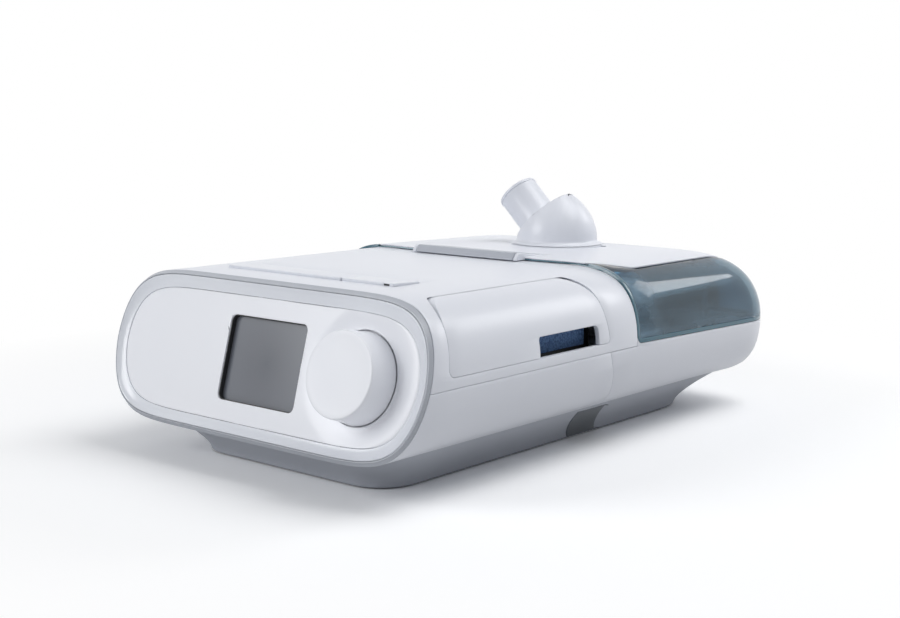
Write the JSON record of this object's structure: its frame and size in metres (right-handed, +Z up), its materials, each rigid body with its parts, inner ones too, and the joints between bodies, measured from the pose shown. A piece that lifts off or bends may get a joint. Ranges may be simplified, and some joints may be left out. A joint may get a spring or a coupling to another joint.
{
  "type": "cpap machine",
  "caption": "Bedside breathing-therapy machine with a tilted front panel, screen and dial, top buttons, side filter door, and a docked humidifier with a hinged smoky lid and a swivelling outlet elbow.",
  "frame": {"origin": "centre of the bounding box's base, on the plane that the rubber feet stand on", "axes": "+Z up, +Y from the front panel to the rear, +X to the right as seen from the front"},
  "size_m": [0.193, 0.3046, 0.1229],
  "materials": {
    "white_abs": "satin moulded white plastic",
    "grey_abs": "fine matte grey plastic",
    "dark_abs": "fine matte dark grey plastic",
    "latch_abs": "satin light grey plastic",
    "black_abs": "matte black plastic",
    "screen_glass": "clear lens over an unlit grey display",
    "smoky_pc": "polished smoky transparent plastic",
    "clear_pc": "clear moulded plastic",
    "circuit_board": "solder-masked circuit board",
    "foot_rubber": "matte rubber",
    "silicone": "soft translucent silicone",
    "blue_filter": "open-cell blue foam",
    "white_filter": "pressed white fibre",
    "acoustic_foam": "open-cell grey foam",
    "steel": "bright steel",
    "aluminium": "rolled aluminium sheet"
  },
  "bodies": {
    "therapy_unit": {"bezel_trim": "grey_abs", "front_bezel": "white_abs", "front_panel": "white_abs", "display_lens": "screen_glass", "lcd_module": "black_abs", "display_board": "circuit_board", "dial_encoder": "black_abs", "upper_housing": "white_abs", "lower_housing": "white_abs", "therapy_base": "grey_abs", "rear_panel": "white_abs", "light_sensor": "black_abs", "button_board": "circuit_board", "therapy_switch": "black_abs", "ramp_switch": "black_abs", "filter_frame": "black_abs", "pollen_filter": "blue_filter", "fine_filter": "white_filter", "sd_card": "black_abs", "sd_card_socket": "grey_abs", "power_inlet": "black_abs", "main_board": "circuit_board", "blower_scroll": "grey_abs", "blower_cover": "grey_abs", "blower_motor": "steel", "blower_boot": "silicone", "muffler_foam": "acoustic_foam", "outlet_duct": "grey_abs", "outlet_seal": "silicone", "base_screw_1": "steel", "base_screw_2": "steel", "humidifier_shell": "white_abs", "humidifier_base": "grey_abs", "heater_mount": "dark_abs", "water_tank": "clear_pc", "tank_plate": "aluminium", "tank_seal": "silicone", "tank_lid": "clear_pc", "dry_box": "grey_abs", "hinge_pin_left": "steel", "hinge_pin_right": "steel", "rubber_foot_1": "foot_rubber", "rubber_foot_2": "foot_rubber", "rubber_foot_3": "foot_rubber", "rubber_foot_4": "foot_rubber"},
    "dial_plunger": {"dial_shaft": "steel"},
    "dial_knob": {"control_dial": "white_abs"},
    "therapy_key": {"therapy_button": "white_abs"},
    "ramp_key": {"ramp_button": "white_abs"},
    "filter_door": {"filter_door": "white_abs"},
    "card_door": {"sd_card_door": "white_abs"},
    "lid": {"humidifier_lid": "smoky_pc", "lid_cover": "white_abs", "lid_seal": "silicone", "elbow_collar": "grey_abs"},
    "lid_latch": {"lid_latch": "latch_abs"},
    "elbow": {"outlet_elbow": "white_abs"},
    "docking_latch": {"docking_latch": "dark_abs"},
    "heater_plate": {"heater_plate": "aluminium"},
    "impeller": {"blower_impeller": "latch_abs"}
  },
  "joints": [
    {"name": "dial_press", "type": "slide", "parent": "therapy_unit", "child": "dial_plunger", "axis": [0, 0.9636, -0.2672], "range_m": [0, 0.0012], "stiffness_N_per_m": 1500, "springref_m": -0.001},
    {"name": "dial_turn", "type": "hinge", "parent": "dial_plunger", "child": "dial_knob", "pos_m": [0.058, -0.13867, 0.0513], "axis": [0, -0.9636, 0.2672], "continuous": true},
    {"name": "therapy_button_press", "type": "slide", "parent": "therapy_unit", "child": "therapy_key", "axis": [0, 0, -1], "range_m": [0, 0.001], "stiffness_N_per_m": 1000, "springref_m": -0.001},
    {"name": "ramp_button_press", "type": "slide", "parent": "therapy_unit", "child": "ramp_key", "axis": [0, 0, -1], "range_m": [0, 0.001], "stiffness_N_per_m": 1000, "springref_m": -0.001},
    {"name": "filter_door_hinge", "type": "hinge", "parent": "therapy_unit", "child": "filter_door", "pos_m": [0.0775, -0.0687, 0.0823], "axis": [0, -1, 0], "range_deg": [0, 70]},
    {"name": "sd_card_door_hinge", "type": "hinge", "parent": "therapy_unit", "child": "card_door", "pos_m": [-0.0963, -0.0687, 0.056], "axis": [0, -1, 0], "range_deg": [0, 80]},
    {"name": "lid_hinge", "type": "hinge", "parent": "therapy_unit", "child": "lid", "pos_m": [0, 0.14993, 0.047], "axis": [-1, 0, 0], "range_deg": [0, 95]},
    {"name": "lid_latch_pivot", "type": "hinge", "parent": "lid", "child": "lid_latch", "pos_m": [0, 0.02083, 0.0853], "axis": [-1, 0, 0], "range_deg": [0, 15]},
    {"name": "elbow_swivel", "type": "hinge", "parent": "lid", "child": "elbow", "pos_m": [0, 0.07833, 0.0876], "axis": [0, 0, 1], "continuous": true},
    {"name": "docking_latch_press", "type": "slide", "parent": "therapy_unit", "child": "docking_latch", "axis": [-1, 0, 0], "range_m": [0, 0.003], "stiffness_N_per_m": 1000, "springref_m": -0.002},
    {"name": "heater_plate_float", "type": "slide", "parent": "therapy_unit", "child": "heater_plate", "axis": [0, 0, -1], "range_m": [0, 0.0015], "stiffness_N_per_m": 2000, "springref_m": -0.001},
    {"name": "impeller_spin", "type": "hinge", "parent": "therapy_unit", "child": "impeller", "pos_m": [-0.03, -0.07667, 0.02], "axis": [0, 0, 1], "continuous": true}
  ]
}
